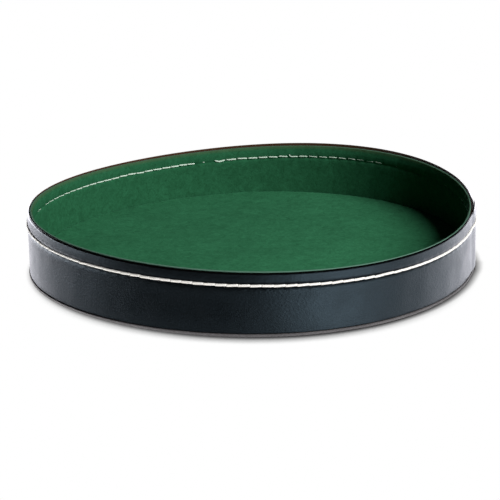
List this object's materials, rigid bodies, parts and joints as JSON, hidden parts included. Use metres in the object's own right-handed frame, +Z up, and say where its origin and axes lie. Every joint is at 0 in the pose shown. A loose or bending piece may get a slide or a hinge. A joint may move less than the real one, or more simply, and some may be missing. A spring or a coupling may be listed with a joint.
{
  "type": "dice tray",
  "caption": "Round dice tray: a low black leather wall on a board base, lined with green felt and sewn with white thread below the rim, for rolling dice into.",
  "frame": {"origin": "centre of the flat underside of the sole, on the surface the tray stands on", "axes": "+Z up out of the tray, -Y towards the viewer of the picture, +X to the viewer's right"},
  "size_m": [0.293, 0.2918, 0.04],
  "materials": {
    "black_leather": "smooth, satin",
    "leatherboard": "raw board, inked at the edge",
    "wall_felt": "pressed felt",
    "floor_felt": "pressed felt",
    "white_thread": "waxed twisted thread",
    "sole_board": "pressed fibre, cut edge",
    "hardboard": "pressed wood fibre",
    "grey_card": "matt card"
  },
  "bodies": {
    "root": {"wall_cover": "black_leather", "wall_core": "leatherboard", "wall_lining": "wall_felt", "needle_thread": "white_thread", "bobbin_thread": "white_thread", "floor_felt": "floor_felt", "base_board": "hardboard", "base_filler": "grey_card", "base_sole": "sole_board"}
  },
  "joints": []
}
